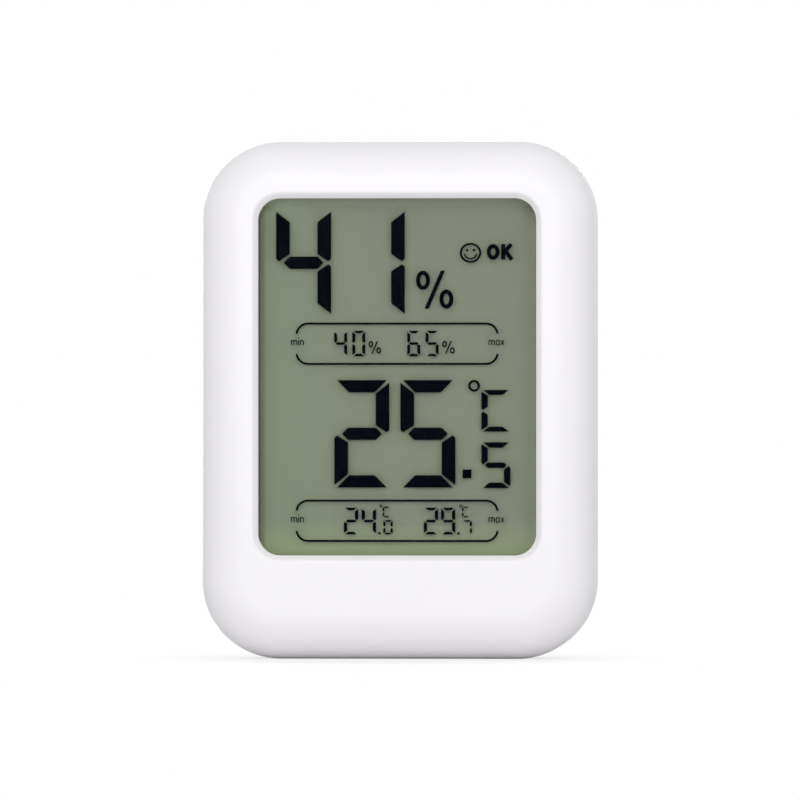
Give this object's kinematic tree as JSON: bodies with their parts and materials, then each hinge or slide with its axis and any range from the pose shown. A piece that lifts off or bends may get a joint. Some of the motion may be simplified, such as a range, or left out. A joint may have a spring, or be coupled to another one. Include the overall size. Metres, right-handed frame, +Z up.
{
  "type": "temperature humidity sensor",
  "caption": "Small white thermometer and hygrometer with a rounded case, a reflective segment display, a fold-out stand, a battery door, push buttons and a keyhole.",
  "frame": {"origin": "on the table under the middle of the case", "axes": "+Z up, -Y out of the display, +X to the right as the display is read"},
  "size_m": [0.057, 0.018, 0.075],
  "materials": {
    "shell_white": "satin, fine texture",
    "display_film": "anti-glare film",
    "display_glass": "clear",
    "seal_resin": "matt",
    "figures_dark": "matt",
    "reflector_olive": "fine silk",
    "frame_plastic": "matt",
    "strip_rubber": "matt",
    "board_green": "solder mask",
    "screw_steel": "plated",
    "resin_black": "glossy drop",
    "crystal_metal": "bright",
    "capacitor_tan": "ceramic",
    "resistor_black": "ceramic",
    "filter_sleeve": "bright",
    "sensor_white": "matt",
    "bead_black": "resin",
    "switch_black": "matt",
    "plunger_black": "matt",
    "cell_metal": "bright",
    "cell_sleeve": "printed film",
    "contact_metal": "nickel plated",
    "wire_red": "soft",
    "wire_black": "soft",
    "magnet_nickel": "plated"
  },
  "bodies": {
    "case": {"front_shell": "shell_white", "rear_shell": "shell_white", "display_polariser": "display_film", "display_front_glass": "display_glass", "display_rear_glass": "display_glass", "display_seal": "seal_resin", "digits_large": "figures_dark", "digits_small": "figures_dark", "display_marks": "figures_dark", "display_reflector": "reflector_olive", "display_frame": "frame_plastic", "contact_strip": "strip_rubber", "circuit_board": "board_green", "board_screws": "screw_steel", "case_screws": "screw_steel", "stand_pin": "screw_steel", "chip_cover": "resin_black", "crystal": "crystal_metal", "capacitors": "capacitor_tan", "resistors": "resistor_black", "filter_capacitor": "filter_sleeve", "humidity_sensor": "sensor_white", "temperature_sensor": "bead_black", "unit_switch": "switch_black", "memory_switch": "switch_black", "cell_can": "cell_metal", "cell_sleeve": "cell_sleeve", "positive_contact": "contact_metal", "negative_contact": "contact_metal", "contact_spring": "contact_metal", "positive_wire": "wire_red", "negative_wire": "wire_black", "magnets": "magnet_nickel"},
    "stand": {"kickstand": "shell_white"},
    "door": {"battery_door": "shell_white"},
    "unit_key": {"unit_button": "shell_white", "unit_switch_plunger": "plunger_black"},
    "memory_key": {"memory_button": "shell_white", "memory_switch_plunger": "plunger_black"}
  },
  "joints": [
    {"name": "stand_hinge", "type": "hinge", "parent": "case", "child": "stand", "pos_m": [0, 0.0074, 0.0326], "axis": [1, 0, 0], "range_deg": [0, 35]},
    {"name": "door_hinge", "type": "hinge", "parent": "case", "child": "door", "pos_m": [0, 0.00835, 0.0394], "axis": [-1, 0, 0], "range_deg": [0, 85]},
    {"name": "unit_press", "type": "slide", "parent": "case", "child": "unit_key", "axis": [0, -1, 0], "range_m": [0, 0.0004], "stiffness_N_per_m": 2000},
    {"name": "memory_press", "type": "slide", "parent": "case", "child": "memory_key", "axis": [0, -1, 0], "range_m": [0, 0.0004], "stiffness_N_per_m": 2000}
  ]
}
